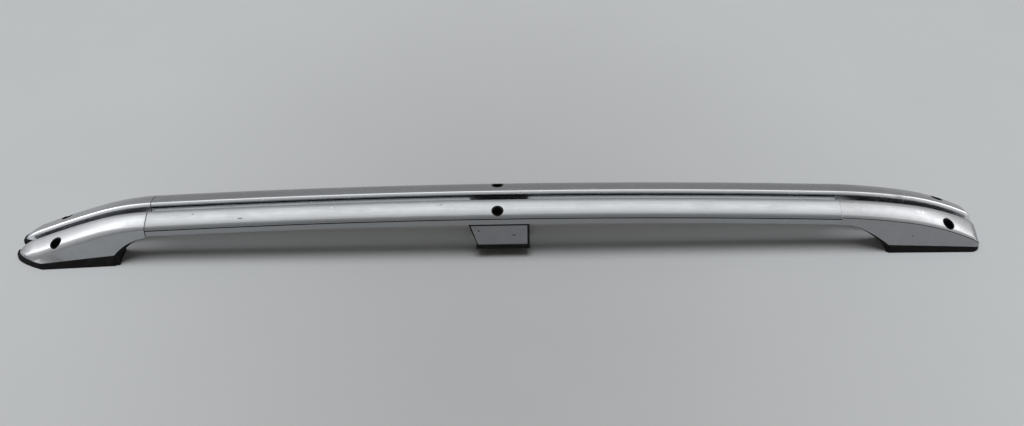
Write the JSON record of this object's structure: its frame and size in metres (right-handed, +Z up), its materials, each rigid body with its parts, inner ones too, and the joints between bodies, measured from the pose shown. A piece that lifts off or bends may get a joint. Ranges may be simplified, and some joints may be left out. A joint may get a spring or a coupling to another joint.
{
  "type": "roof side rail pair",
  "caption": "Pair of arched silver side rails for a car's roof, each on three feet with black seating pads and open access holes.",
  "frame": {"origin": "on the ground, midway along the pair and midway between the two rails", "axes": "+X along the rails from the front feet to the rear feet, +Y from the left rail to the right rail, +Z up"},
  "size_m": [1.762, 0.1288, 0.1035],
  "materials": {
    "rail_silver": "satin anodised",
    "foot_silver": "satin silver",
    "cover_silver": "satin silver",
    "black_plastic": "matte",
    "pad_rubber": "matte",
    "bush_steel": "zinc plated",
    "screw_steel": "zinc plated"
  },
  "bodies": {
    "root": {"left_rail": "rail_silver", "left_front_foot": "foot_silver", "left_rear_foot": "foot_silver", "left_middle_cover": "cover_silver", "left_middle_support": "black_plastic", "left_front_pad": "pad_rubber", "left_middle_pad": "pad_rubber", "left_rear_pad": "pad_rubber", "left_front_sleeve": "black_plastic", "left_middle_sleeve": "black_plastic", "left_rear_sleeve": "black_plastic", "left_front_bush": "bush_steel", "left_middle_bush": "bush_steel", "left_rear_bush": "bush_steel", "left_front_joint_screws": "screw_steel", "left_rear_joint_screws": "screw_steel", "left_support_screws": "screw_steel", "right_rail": "rail_silver", "right_front_foot": "foot_silver", "right_rear_foot": "foot_silver", "right_middle_cover": "cover_silver", "right_middle_support": "black_plastic", "right_front_pad": "pad_rubber", "right_middle_pad": "pad_rubber", "right_rear_pad": "pad_rubber", "right_front_sleeve": "black_plastic", "right_middle_sleeve": "black_plastic", "right_rear_sleeve": "black_plastic", "right_front_bush": "bush_steel", "right_middle_bush": "bush_steel", "right_rear_bush": "bush_steel", "right_front_joint_screws": "screw_steel", "right_rear_joint_screws": "screw_steel", "right_support_screws": "screw_steel"}
  },
  "joints": []
}
